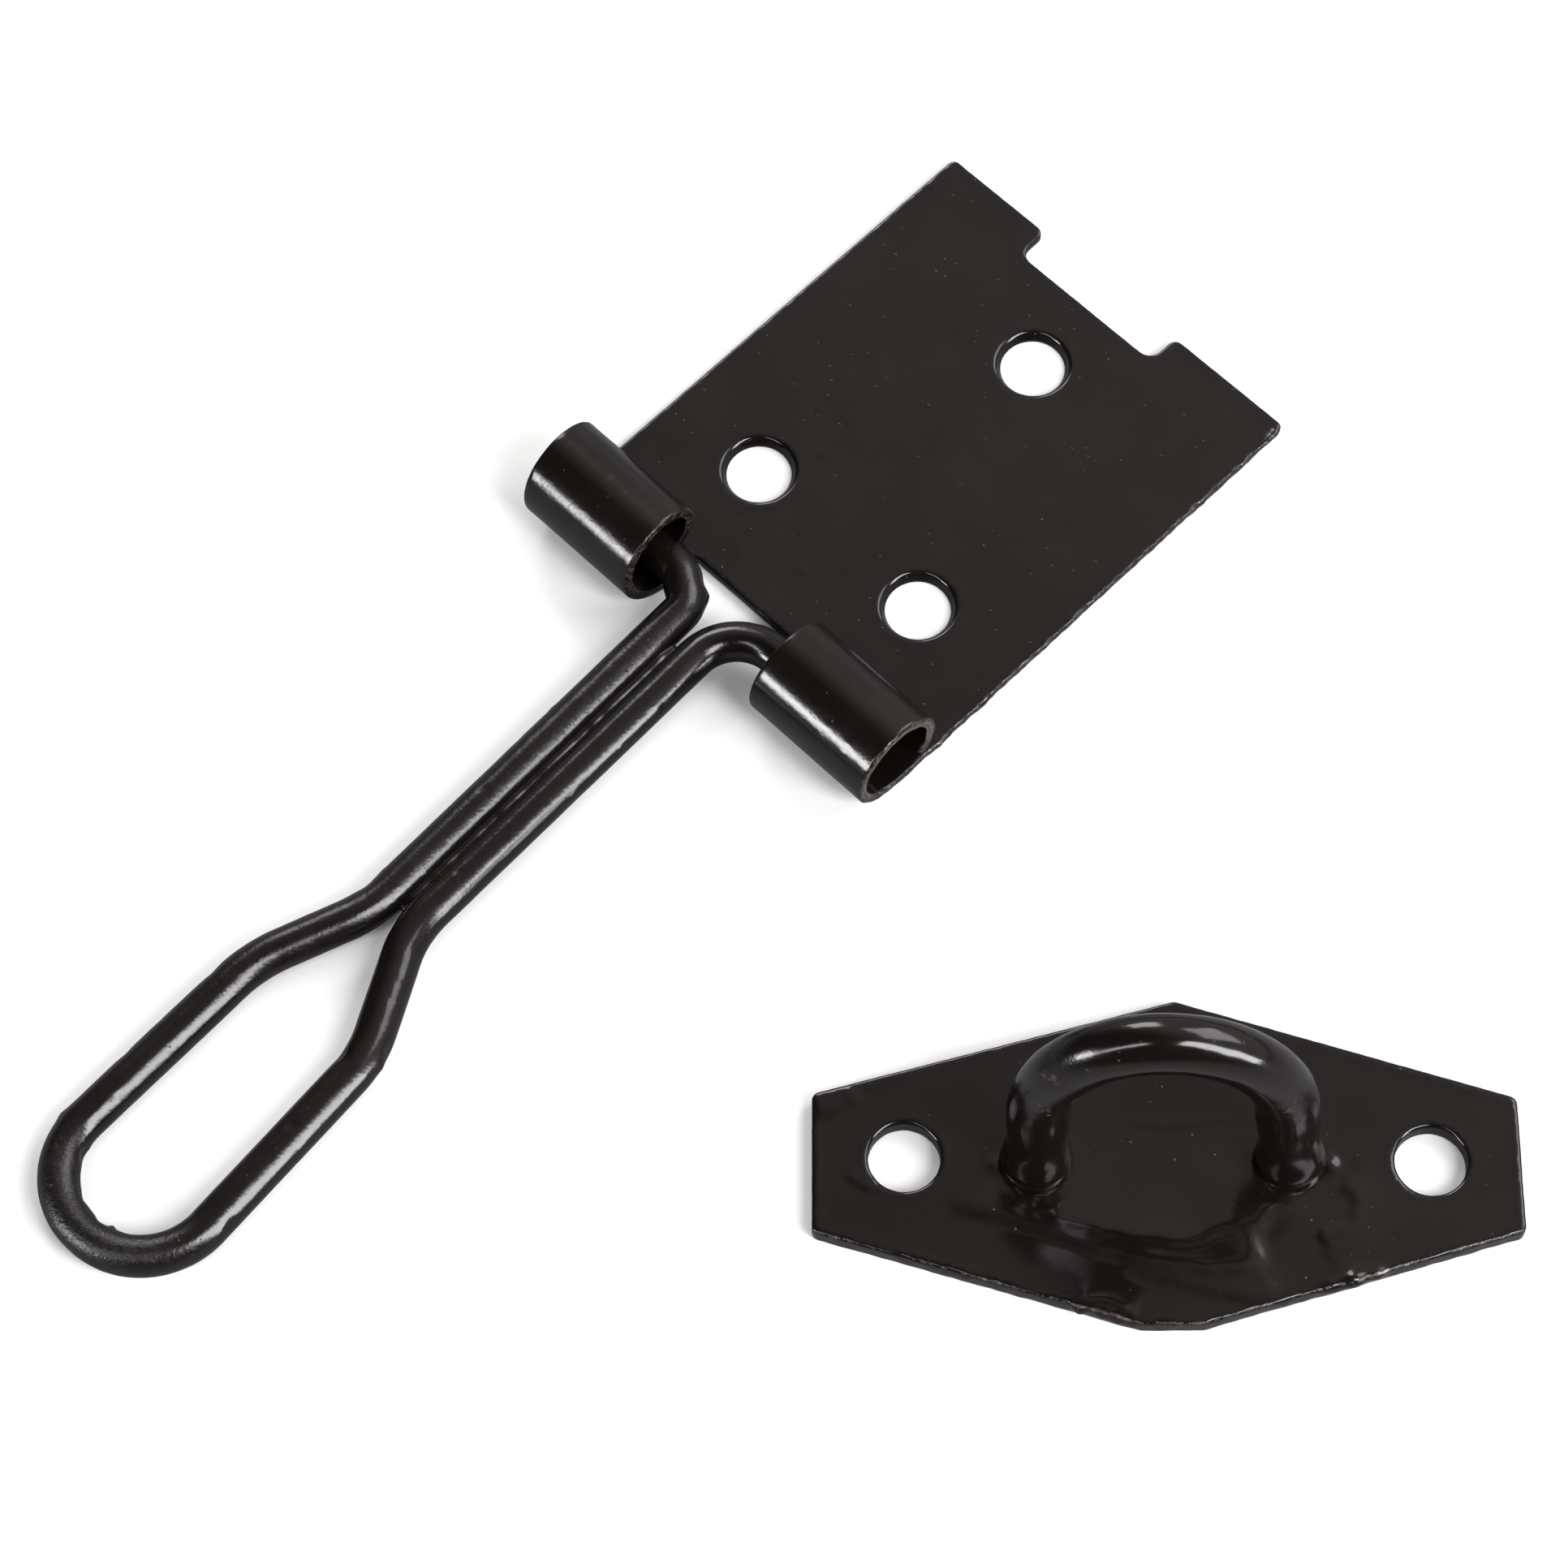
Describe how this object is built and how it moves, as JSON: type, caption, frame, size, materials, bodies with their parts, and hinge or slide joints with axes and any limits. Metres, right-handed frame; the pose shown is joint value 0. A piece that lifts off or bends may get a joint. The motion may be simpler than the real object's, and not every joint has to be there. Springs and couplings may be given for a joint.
{
  "type": "hasp and staple",
  "caption": "Flat hinge leaf with rolled knuckles carrying a swinging bent-wire hasp with a long loop, and a separate six-sided plate with a tall U staple.",
  "frame": {"origin": "middle of the hinge plate's back face, the face that is screwed to the gate or door", "axes": "+Z out of the mounting surface, +Y along the hinge line, and the hasp reaches towards -X from the knuckles"},
  "size_m": [0.1411, 0.1177, 0.0313],
  "materials": {
    "hinge_plate_enamel": "gloss",
    "wire_enamel": "gloss",
    "staple_plate_enamel": "gloss",
    "loop_enamel": "gloss"
  },
  "bodies": {
    "hinge_plate": {"hinge_plate": "hinge_plate_enamel"},
    "hasp": {"wire_hasp": "wire_enamel"},
    "staple": {"staple_plate": "staple_plate_enamel", "staple_loop": "loop_enamel"}
  },
  "joints": [
    {"name": "hasp_swing", "type": "hinge", "parent": "hinge_plate", "child": "hasp", "pos_m": [-0.0267, 0, 0.0034], "axis": [0, 1, 0], "range_deg": [-104, 180]},
    {"name": "staple_lift", "type": "slide", "parent": "hinge_plate", "child": "staple", "axis": [0, 0, 1], "range_m": [0, 0.06]}
  ]
}
